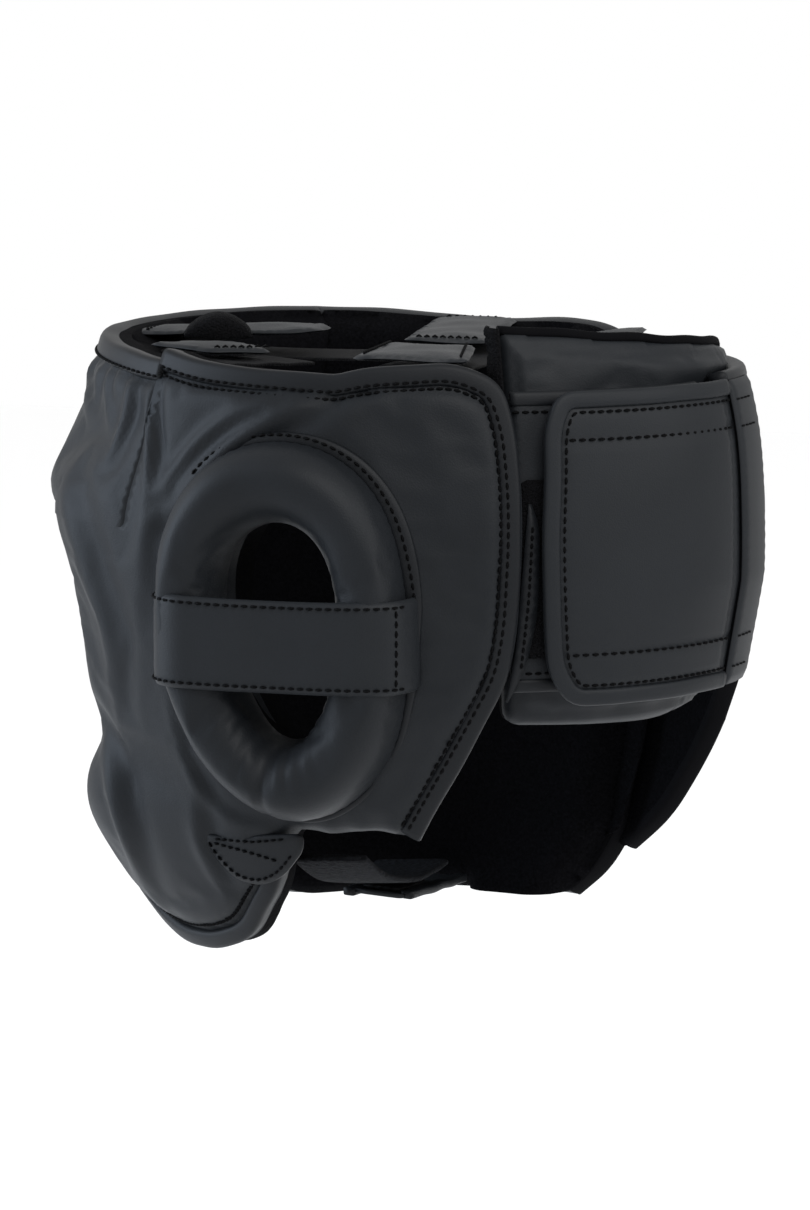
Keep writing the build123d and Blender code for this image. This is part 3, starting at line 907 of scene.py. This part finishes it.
def ear_strap(name, side):
    """Flat sleeve of leather round the ring, stitched along both edges."""
    reach, front_y, rear_y = 123.4, -48.5, 43.5
    low, high, half, hem = -19.5, 13.0, 1.25, 3.0
    base_front, base_rear = surface_x(np.array([front_y, rear_y]), np.full(2, -2.0), -0.6)
    path = [(base_front - 2, front_y + 1.5), (base_front + 9, front_y - 0.5),
            (reach - 6, front_y + 3), (reach - 0.6, front_y + 11), (reach + 0.5, -18),
            (reach - 0.2, -2), (reach + 0.5, 16), (reach - 0.6, rear_y - 11),
            (reach - 5, rear_y - 2), (base_rear + 5, rear_y + 1), (base_rear - 1.5, rear_y + 1)]
    line = resample(rounded(path, 9, False), 2.0, False)
    out = leftward(line)
    out[out[:, 0] < -0.2] *= -1
    out[np.einsum("ij,ij->i", out, line - line.mean(0)) < 0] *= -1
    sag = -0.9 * np.cos((line[:, 1] - front_y) / (rear_y - front_y) * math.pi - math.pi / 2)

    def along(w, offset):
        """Line along the strap, at a share of its height and a distance out from its middle."""
        z = low + (high - low) * w + sag * (1 if w > 0.5 else 0.4)
        p = line + out * offset
        return np.stack([p[:, 0] * side, p[:, 1], z], -1)

    profile = np.linspace(0, 1, 17)
    rows = []
    for w in profile:
        edge = min(w, 1 - w) * (high - low)
        puff = half * math.sqrt(max(0.04, 1 - max(0.0, 1 - edge / 1.6)**2))
        rows.append(along(w, puff - 0.45 * math.exp(-((edge - hem - 0.2) / 0.9)**2)))
    rows += [along(w, -0.8 * half) for w in profile[::-1]]
    n = len(line)
    faces = []
    for k in range(len(rows)):
        m = (k + 1) % len(rows)
        for i in range(n - 1):
            faces.append((k * n + i, k * n + i + 1, m * n + i + 1, m * n + i))
    for end in (0, n - 1):
        faces.append(tuple(k * n + end for k in range(len(rows))))
    obj = build(name, np.vstack(rows), faces, [TAB])
    fix_normals(obj)
    ups = np.stack([out[:, 0] * side, out[:, 1], np.zeros(n)], -1)
    skip = slice(4, n - 5)
    for w in (hem, high - low - hem):
        row = rows[int(round(w / (high - low) * 16))][skip]
        shell_thread.row(row + ups[skip] * 0.15, ups[skip])
    end = n - 9
    column = np.array([row[end] for row in rows[1:16]]) + [0.2 * side, 0, 0]
    shell_thread.row(column, np.tile(ups[end], (len(column), 1)))
    return obj


for side_name, sign in (("left", 1), ("right", -1)):
    own(ear_ring(f"{side_name}_ear_ring", sign), "shell", "cover_leather",
        f"{side_name}_ear_cover", f"{side_name}_ear_foam", fill=0.9)
    own(ear_flange(f"{side_name}_ear_flange", sign), "shell", "binding")
    own(ear_strap(f"{side_name}_ear_cross_strap", sign), "shell", "strap_leather",
        f"{side_name}_ear_strap")

# ------------------------------------------------------------------ rear: right wing
WING_END = 173.5
RIGHT_WING = [(-123.4, 82, 3), (-123.4, -98, 3), (-126.0, -99, 2), (-134, -86, 12),
              (-142, -62, 12), (-148.5, -40, 12), (-156, -25, 14), (WING_END - 360, -24, 3),
              (WING_END - 360, 82, 3)]
layer("right_wing_pad", RIGHT_WING, [COVER, LINING], 8, 0.4, (0, 1.6, 5), (0, 1.6, 5),
      ("shell", "cover_leather", "right_wing_cover", "right_wing_foam", "right_wing_lining"),
      fill=0.6, relief=lambda uv, d: ripple(uv, 21, 50, 0.4) * np.clip(d / 10, 0, 1))
# The right wing's edge binding uses the painted-shade copy of the binding leather.
own(edge_band("right_wing_edge", RIGHT_WING[7:1:-1], 6, 0.6, 8.2, [SHADED_TRIM]), "shell",
    "binding", "right_wing_binding")
tape_outline = [(-118.5, 80, 3), (-118.5, -98, 3), (-127.0, -92, 3), (-129, -60, 3), (-129, 80, 3)]
layer("right_rear_seam_tape", tape_outline, [LINING, LINING], 1.4, 12.6, (0, 0.4, 2), (0, 0.4, 2),
      ("shell", "lining"))
own(edge_band("right_wing_top_edge", [(-124.4, 84, 3), (WING_END - 360, 84, 3)], 6,
              0.6, 8.2, [TRIM]), "shell", "binding")

# ------------------------------------------------------------------ rear: left wing
wing_outline = [(123.2, -21, 3), (123.2, 81, 3), (168, 81, 14), (168, -21, 14)]
layer("left_wing_panel", wing_outline, [COVER, LINING], 3.2, 8.0, (0, 0.8, 3), (0, 0.8, 3),
      ("shell", "cover_leather", "left_wing"),
      relief=lambda uv, d: ripple(uv, 31, 40, 0.35) * np.clip(d / 8, 0, 1))
top_line = [(167.5, 81.5, 3), (123.4, 81.5, 3)]
low_line = [(123.4, -21.5, 3), (167.5, -21.5, 3)]
own(edge_band("left_wing_top_edge", top_line, 5.4, 6.9, 11.8, [TRIM]), "shell", "binding",
    "left_wing_top_binding")
own(edge_band("left_wing_low_edge", low_line, 5.0, 6.9, 11.8, [TRIM]), "shell", "binding",
    "left_wing_low_binding")
shell_thread.on_form(shifted(top_line, 6.4), 7.8)
shell_thread.on_form(shifted(low_line, 6.0), 7.8)
loop_outline = [(124.5, -10, 2), (124.5, 52, 2), (164, 52, 8), (164, -10, 8)]
layer("loop_field_pile", loop_outline, [LOOP, LOOP], 1.6, 6.3, (0, 0.5, 2), (0, 0.3, 2),
      ("shell", "loop_fabric", "loop_field"), relief=lambda uv, d: ripple(uv, 41, 6, 0.25))


# Pointed layer of leather that lies along the left panel's rear edge.
facing_outline = [(121.6, -27, 2), (123.6, -8, 8), (124.6, 20, 6), (125.6, 46, 2), (127.6, 36, 8),
                  (127.4, 5, 8), (125.2, -14, 8)]
layer("rear_edge_facing", facing_outline, [TRIM, TRIM], 1.6, 4.6, (0, 0.5, 2), (0, 0.4, 2),
      ("shell", "binding"))
shell_thread.on_form([(124.4, -14), (125.6, 10), (126.2, 38)], 4.4, pitch=2.8, length=1.9)

# ------------------------------------------------------------------ rear flap
FLAP_ROOT = 172.6
FLAP_SEAMS = (66.0, -8.5)   # heights of the two long stitch lines


def flap_relief(uv, dist):
    """Slight billow, and grooves under the two long stitch lines."""
    z = uv[:, 1]
    total = ripple(uv, 51, 70, 0.5) * np.clip(dist / 12, 0, 1)
    for line in FLAP_SEAMS:
        total -= 0.5 * np.exp(-((z - line) / 1.3)**2)
    return total


flap_edge = [(FLAP_ROOT, 82, 2), (131, 82, 22), (128.2, 70, 22), (127.4, 28, 20), (128.6, -14, 22),
             (132, -26, 22), (FLAP_ROOT, -26, 2)]
flap_outline = flap_edge[-1:] + flap_edge[:-1]
layer("rear_flap_leather", flap_outline, [TAB, LINING], 3.4, -0.4, (5.5, 1.2, 3), (0, 0.6, 3),
      ("rear_flap", "cover_leather", "rear_flap"), relief=flap_relief)
flap_thread = Thread("rear_flap_stitches", "rear_flap")
own(edge_band("rear_flap_edge", flap_edge, 6.2, -0.9, 4.0, [TAB], wobble=0.15),
    "rear_flap", "binding", "rear_flap_binding")
flap_thread.on_form(shifted(flap_edge, 6.6), -0.15)
for height in FLAP_SEAMS:
    flap_thread.on_form([(FLAP_ROOT - 1, height), (131.5, height)], -0.15, pitch=3.6)
root_outline = [(FLAP_ROOT + 0.25, -26, 2), (FLAP_ROOT + 0.25, 82, 2), (187, 82, 3), (187, -26, 3)]
layer("rear_flap_root", root_outline, [TAB, LINING], 1.6, -1.3, (0, 0.9, 3), (0, 0.4, 3),
      ("shell", "cover_leather"))
for height in (75.4, *FLAP_SEAMS, -19.4):
    shell_thread.on_form([(182, height), (FLAP_ROOT + 0.6, height)], -1.5, pitch=3.6, thick=0.35)
hook_outline = [(132, -14, 4), (132, 70, 4), (161, 70, 4), (161, -14, 4)]
layer("rear_hook_panel", hook_outline, [HOOK, HOOK], 1.6, 3.3, (0, 0.4, 2), (0, 0.4, 2),
      ("rear_flap", "hook_tape", "rear_hook_patch"))

# ------------------------------------------------------------------ rear pad
def pad_bulge(theta):
    """How far the top of the cushion leans out over the wings, more towards its free end."""
    return 8.0 * np.clip((theta - 132) / 60, 0, 1)


def pad_relief(uv, dist):
    """Pillowed cushion with a flatter band inside its stitched edge."""
    theta, z = uv[:, 0] / SPAN, uv[:, 1]
    total = ripple(uv, 61, 45, 0.8) * np.clip(dist / 12, 0, 1)
    over = np.clip((z - 78) / 9, 0, 1) * pad_bulge(theta)
    return total + over - 0.9 * np.exp(-((dist - 5) / 1.6)**2)


PAD_TOP = [(135, 101, 10), (152, 98, 10), (170, 95.8, 10), (190, 92.6, 10), (204, 89.4, 3)]
pad_outline = [(123.0, -35, 6), (123.6, 40, 10), (123.2, 102, 2)] + PAD_TOP
pad_outline += [(213, 74, 10), (218, 40, 20), (212, -20, 14), (196, -33, 14), (160, -37, 14)]
cushion = panel("rear_cushion", pad_outline, [TAB, LINING], 18, [(None, 0, 5, 11)],
                [(None, 0, 6, 12)], base=12.6, relief=pad_relief)
own(stuff(cushion, 3.0, 6, slack=0.012), "shell", "cover_leather", "rear_pad_cover",
    "rear_pad_foam", "rear_pad_lining", fill=0.7)
welt = [(theta, z + 1.2, corner) for theta, z, corner in PAD_TOP[::-1]] + [(123.4, 102.7, 2)]
# The cushion's top welt uses the painted-shade copy of the binding leather.
own(edge_band("rear_cushion_top_edge", welt, 3.6, lambda theta: 15.6 - pad_bulge(theta),
              lambda theta: 21.0 - pad_bulge(theta), [SHADED_TRIM], wobble=0.5), "shell", "binding")


def torn_end():
    """Raw fabric end of the cushion's cover, standing up beside the side panel."""
    rng = np.random.default_rng(7)
    heights = np.linspace(78, 103, 26)
    rows = []
    for z in heights:
        jag = rng.uniform(-0.8, 0.8)
        top = z + (1.5 * jag if z == heights[-1] else 0)
        for depth, lean, sway in ((12.2, 0, 0), (14.0, -0.9, 0.2), (18.0, -1.5, 0.4),
                                  (23.0, -0.4, 0.3)):
            rows.append(place(122.9 + lean + sway * jag, top, depth))
    faces = [(a, a + 1, a + 5, a + 4) for k in range(25) for a in range(k * 4, k * 4 + 3)]
    obj = build("rear_cushion_raw_end", rows, faces, [LOOP])
    thick = obj.modifiers.new("thick", "SOLIDIFY")
    thick.thickness = 1.2 * MM
    return own(obj, "shell", "loop_fabric")


torn_end()


# ------------------------------------------------------------------ crown straps
def ribbon(name, line, half_width, thick, mat, sag=0.0, tilt=0.0):
    """Flat strap along points in millimetres, with soft edges and a slight sag."""
    p = resample(line, 2.5, closed=False)
    n = len(p)
    t = np.linspace(0, 1, n)
    p[:, 2] -= sag * np.sin(math.pi * t)
    p[:, 2] += 0.25 * np.sin(t * 17) * np.sin(math.pi * t)
    tangent = np.gradient(p, axis=0)
    tangent /= np.linalg.norm(tangent, axis=1, keepdims=True)
    across = np.cross(tangent, [0, 0, 1.0])
    across /= np.linalg.norm(across, axis=1, keepdims=True)
    up = np.cross(across, tangent)
    across = across + up * tilt
    return sweep(name, p, across, up, half_width, thick / 2, [mat], 5.0, 22)


def tab(name, corners, mat, radius, seams):
    """Flat leather tab between corner points in millimetres, softly swollen, with its stitches."""
    thick, swell = 2.0, 1.2
    uv, faces, loops = mesh_region(rounded([c[:2] for c in corners], radius), [], 2.2)
    dist = distance(uv, loops[0])[0]
    p = np.array(corners, float)
    plane = np.linalg.lstsq(np.c_[p[:, :2], np.ones(len(p))], p[:, 2], rcond=None)[0]
    edge = np.sqrt(np.clip(1 - (1 - np.clip(dist / 1.2, 0, 1))**2, 0, 1))
    lift = swell * np.clip(dist / 14, 0, 1)
    lift += 0.3 * np.sin(uv[:, 0] * 0.21) * np.sin(uv[:, 1] * 0.17)
    z = uv @ plane[:2] + plane[2] + lift
    dent = 0.35 * np.exp(-((dist - 3.4) / 0.8)**2)
    top = np.c_[uv, z + thick / 2 * edge - dent]
    low = np.c_[uv, z - thick / 2 * edge]
    n = len(uv)
    sides = [(j, i, i + n, j + n) for i, j in boundary(faces)]
    all_faces = [tuple(f) for f in faces] + [tuple(f[::-1] + n) for f in faces] + sides
    for start, end in seams:
        plan = np.linspace(start, end, 12)
        z = plan @ plane[:2] + plane[2] + swell * 0.3 + thick / 2 + 0.15
        line = resample(np.c_[plan, z], 1.5, closed=False)
        shell_thread.row(line, np.tile([0, 0, 1.0], (len(line), 1)), pitch=3.0, length=2.1)
    return build(name, np.vstack([top, low]), all_faces, [mat])


# Tabs of the crown: name, body, CAD node, corner radius, corner points and lines of stitches.
CROWN_TABS = [
    ("crown_left_tab", "shell", ["crown_tab_left"], CORNER,
     [(30, 8, 92.4), (84, 14, 92.6), (84, 57, 92.6), (30, 42, 92.4)],
     [((33, 11.5), (80, 17)), ((33, 39.5), (80, 53))]),
    ("crown_right_tab", "shell", ["crown_tab_right"], CORNER,
     [(5, 6, 91.6), (5, 39, 91.6), (-86, 20, 91.6), (-86, -11, 91.6)],
     [((1, 9), (1, 35)), ((-78, -6), (-78, 17))]),
    ("crown_corner_tab", "shell", ["crown_tab_corner"], CORNER,
     [(53, -74, 92.4), (31, -47, 91.6), (51, -26, 90.6), (65, -45, 91.4)],
     [((47.5, -28.5), (61.5, -46))]),
    ("crown_rear_tab", "shell", ["crown_tab_rear"], CORNER,
     [(-22, 41, 89), (2, 43, 89), (-8, 91, 95), (-34, 86, 95)], [((-20, 45), (0, 47))]),
    ("crown_front_root", "shell", [], 2,
     [(-17, -73.2, 92.2), (-18, -99, 91.2), (11, -100, 91.2), (9, -76, 92.2)],
     [((-14, -90), (7, -91))]),
    ("crown_front_tab", "front_tab", ["crown_tab_front"], 12,
     [(-17, -72, 93), (13, -72, 93), (14, -26, 94), (-18, -26, 94)], [])]


def crown():
    """Webbing and leather tabs over the open crown."""
    own(ribbon("crown_webbing_across", [(-85, 26, 88), (0, 29, 87.6), (84, 35, 88)], 17.5, 1.5,
               WEB, 1.0), "shell", "webbing", "crown_web_across")
    own(ribbon("crown_webbing_along", [(1, -97, 86), (-6, -20, 85.0), (-14, 89, 86)], 17.5, 1.5,
               WEB, 0.5), "shell", "webbing", "crown_web_along")
    own(ribbon("crown_webbing_corner", [(36, -26, 86.4), (68, -48, 88)], 16, 1.5, WEB),
        "shell", "webbing", "crown_web_corner")
    for name, body, nodes_replaced, radius, corners, seams in CROWN_TABS:
        own(tab(name, corners, TAB, radius, seams), body, "strap_leather", *nodes_replaced)
    start, end = np.array([19.0, -72.0, 92.6]), np.array([10.5, -49.0, 92.6])
    line = np.linspace(start, end, 19)
    arch = np.sin(math.pi * np.linspace(0, 1, 19)) ** 0.7
    line[:, 2] += 3.2 * arch
    up = np.array([0, 0, 1.0])
    out = np.cross(up, (start - end) / np.linalg.norm(start - end))
    tip = sweep("crown_fuzzy_tip", line, np.tile(out, (19, 1)), np.tile(up, (19, 1)),
                6 + 4 * arch, 0.8 + 4.2 * arch, [LOOP], 3.0, 20)
    own(tip, "front_tab", "loop_fabric", "crown_strap_tip")


crown()


# ------------------------------------------------------------------ chin straps
def chin_band(name, start, middle, end, y_centre, half, thick, mat):
    """Bowed strap under the chin."""
    a, b, c = (np.array(q, float) for q in (start, middle, end))
    t = np.linspace(0, 1, 26)[:, None]
    xz = (1 - t)**2 * a + 2 * t * (1 - t) * (2 * b - (a + c) / 2) + t**2 * c
    line = np.stack([xz[:, 0], np.full(26, float(y_centre)), xz[:, 1]], -1)
    line[:, 1] += 1.0 * np.sin(np.linspace(0, 3, 26))
    return ribbon(name, line, half, thick, mat, tilt=0.06)


def chin():
    """Loop strap from the left cheek, right strap beneath it, and their patches."""
    own(chin_band("chin_loop_band", (64, -86.5), (24, -101), (-26, -102.6), -1, 14, 2.6, COARSE),
        "shell", "loop_fabric", "chin_loop_strap")
    strap_line = (-51, -111.6), (-20, -109.6), (12, -107.8)
    own(chin_band("chin_strap_band", *strap_line, -1, 10, 2.0, TAB),
        "chin_strap", "strap_leather", "chin_strap")
    for name, y, cad in (("chin_strap_front_edge", -12, "chin_strap_binding_front"),
                         ("chin_strap_rear_edge", 10, "chin_strap_binding_rear")):
        own(chin_band(name, *strap_line, y, 2.2, 3.0, TRIM), "chin_strap", "binding", cad)
    own(chin_band("chin_hook_pad", (-20, -107.9), (-5, -107.0), (9, -106.3), -1, 7, 1.4, HOOK),
        "chin_strap", "hook_tape", "chin_hook_patch")
    patch = {"mats": [TRIM, TRIM], "thick": 1.8, "base": -1.2, "outside": (0, 0.6, 2.5),
             "underside": (0, 0.2, 2), "step": 1.6}
    left_patch = [(66.5, -76.5, 3), (67.7, -84, 6), (71, -93, 7), (77, -94.5, 7), (82, -90, 7),
                  (86.5, -80, 5), (87, -73.5, 3), (79, -75, 8), (73, -77.5, 8)]
    layer("left_anchor_patch", left_patch, owner=("shell", "strap_leather", "left_chin_anchor"),
          **patch)
    for line in ([(67.6, -79), (69.2, -85), (72.2, -91.5), (77, -92.6), (81.3, -88.5), (85.2, -80)],
                 [(68.6, -79.6), (76, -81.8), (82.6, -84.8)],
                 [(69, -78), (77, -78), (84.4, -75.5)]):
        shell_thread.on_form(line, -1.4, pitch=2.9, length=2.0)
    right_patch = mirror_theta([(74, -86, 4), (92, -86, 4), (87, -103, 5), (79, -103, 5)])
    layer("right_anchor_patch", right_patch, owner=("shell", "strap_leather", "right_chin_anchor"),
          **patch)


chin()
shell_thread.finish(THREAD)
flap_thread.finish(THREAD)


# ------------------------------------------------------------------ camera, floor and light
def camera():
    """Camera behind the wearer's left, a little above the ears."""
    azimuth, elevation, away = math.radians(109), math.radians(7.4), 2.5
    level = math.cos(elevation)
    back = Vector((math.sin(azimuth) * level, -math.cos(azimuth) * level, math.sin(elevation)))
    view_height = 435.6 * MM                      # what the frame's height shows at the origin
    origin_left, origin_up = 5.04 * MM, 4.5 * MM  # from the middle of the frame to the origin
    data = bpy.data.cameras.new("camera")
    data.sensor_fit = "VERTICAL"
    data.sensor_height = 36
    data.lens = data.sensor_height * away / view_height
    data.shift_x = origin_left / view_height
    data.shift_y = -origin_up / view_height
    data.clip_end = 20
    obj = bpy.data.objects.new("camera", data)
    obj.location = back * away
    obj.rotation_euler = back.to_track_quat("Z", "Y").to_euler()
    bpy.context.collection.objects.link(obj)
    bpy.context.scene.camera = obj


camera()


def floor():
    """Plain pale floor well below the held guard."""
    half, height = 6.0, -0.60
    verts = [(-half, -half, height), (half, -half, height), (half, half, height),
             (-half, half, height)]
    floor_paint = bpy.data.materials.new("floor_paint")
    floor_paint.use_nodes = True
    shader = floor_paint.node_tree.nodes["Principled BSDF"]
    shader.inputs["Base Color"].default_value = (0.97, 0.97, 0.97, 1)
    shader.inputs["Roughness"].default_value = 0.9
    mesh = bpy.data.meshes.new("floor")
    mesh.from_pydata(verts, [], [(0, 1, 2, 3)])
    mesh.materials.append(floor_paint)
    obj = bpy.data.objects.new("floor", mesh)
    bpy.context.collection.objects.link(obj)


floor()


def light(name, place_at, size, power, colour=(1, 1, 1)):
    """Soft rectangular light that faces the guard."""
    data = bpy.data.lights.new(name, "AREA")
    data.color = colour
    data.shape = "RECTANGLE"
    data.size, data.size_y = size
    data.energy = power
    obj = bpy.data.objects.new(name, data)
    obj.location = place_at
    obj.rotation_euler = Vector(place_at).to_track_quat("Z", "Y").to_euler()
    bpy.context.collection.objects.link(obj)


light("key", (1.2, 0.9, 1.6), (1.2, 1.2), 42)
light("front_fill", (0.4, -1.9, 0.5), (1.0, 1.6), 50, colour=(0.72, 0.84, 1.0))
light("rear_fill", (0.2, 1.9, 0.9), (0.8, 1.2), 22)
world = bpy.data.worlds.new("studio")
world.use_nodes = True
world.node_tree.nodes["Background"].inputs["Color"].default_value = (1, 1, 1, 1)
world.node_tree.nodes["Background"].inputs["Strength"].default_value = 1.0
bpy.context.scene.world = world
bpy.context.scene.view_settings.view_transform = "Standard"
